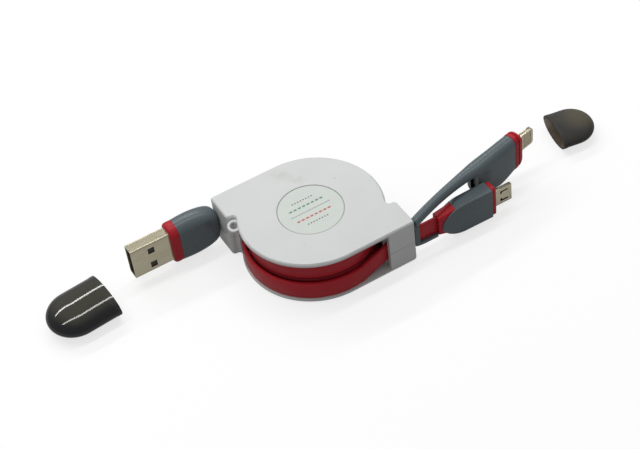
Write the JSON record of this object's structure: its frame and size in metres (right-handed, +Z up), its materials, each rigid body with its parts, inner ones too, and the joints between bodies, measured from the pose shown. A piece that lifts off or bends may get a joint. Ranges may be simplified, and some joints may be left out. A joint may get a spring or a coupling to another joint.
{
  "type": "retractable charging cable",
  "caption": "Flat charging cable on a sprung reel with two horns: a host plug pulls out of one, a phone plug with a tethered adapter tip out of the other; caps lie beside them",
  "frame": {"origin": "on the spool axis, in the plane of the housing's underside", "axes": "+X towards the phone plug, +Y away from the viewer towards the host plug's side, +Z up out of the label"},
  "size_m": [0.1939, 0.0519, 0.0198],
  "materials": {
    "white_plastic": "satin moulded white plastic",
    "label_paper": "smooth pale sticker, bare",
    "red_plastic": "moulded red plastic",
    "red_cable": "smooth red cable jacket",
    "grey_plastic": "soft grey overmould",
    "dark_plastic": "black moulded plastic",
    "nickel": "nickel plated sheet",
    "gold": "thin gold plating",
    "steel": "plain steel",
    "smoked_plastic": "smoked translucent plastic"
  },
  "bodies": {
    "housing": {"top_cover": "white_plastic", "bottom_cover": "white_plastic", "label": "label_paper", "cover_screw": "steel", "stop_ball": "steel", "lower_lead": "red_cable", "upper_lead": "red_cable"},
    "spool_set": {"spool": "red_plastic", "mainspring": "steel", "lower_winding": "red_cable", "upper_winding": "red_cable"},
    "host_end": {"host_strip": "red_cable", "host_body": "grey_plastic", "host_collar": "red_plastic", "host_shell": "nickel", "host_tongue": "dark_plastic", "host_contacts": "gold", "host_cap": "smoked_plastic"},
    "phone_end": {"phone_strip": "red_cable", "strap_collar": "grey_plastic", "phone_relief": "red_plastic", "phone_body": "grey_plastic", "phone_collar": "red_plastic", "phone_shell": "nickel", "phone_insert": "dark_plastic", "phone_contacts": "gold", "tip_cap": "smoked_plastic"},
    "adapter": {"adapter_strap": "grey_plastic", "adapter_body": "grey_plastic", "adapter_socket": "nickel", "socket_tongue": "dark_plastic", "adapter_collar": "red_plastic", "blade_tip": "nickel", "blade_contacts": "gold"}
  },
  "joints": [
    {"name": "spool_turn", "type": "hinge", "parent": "housing", "child": "spool_set", "pos_m": [0, 0, 0], "axis": [0, 0, 1], "range_deg": [0, 1145.9], "stiffness_Nm_per_rad": 0.002, "springref_deg": -171.89, "deforming": ["mainspring"]},
    {"name": "host_pull", "type": "slide", "parent": "housing", "child": "host_end", "axis": [-1, 0, 0], "range_m": [0, 0.4], "deforming": ["host_strip"]},
    {"name": "phone_pull", "type": "slide", "parent": "housing", "child": "phone_end", "axis": [1, 0, 0], "range_m": [0, 0.4], "deforming": ["phone_strip"]},
    {"name": "adapter_swing", "type": "hinge", "parent": "phone_end", "child": "adapter", "pos_m": [0.0268, -0.0213, 0.0155], "axis": [0.2164, -0.9763, 0], "range_deg": [0, 30], "deforming": ["adapter_strap"]}
  ],
  "couplings": [
    {"joint": "host_pull", "follows": "spool_turn", "m_per_rad": 0.02},
    {"joint": "phone_pull", "follows": "spool_turn", "m_per_rad": 0.02}
  ]
}
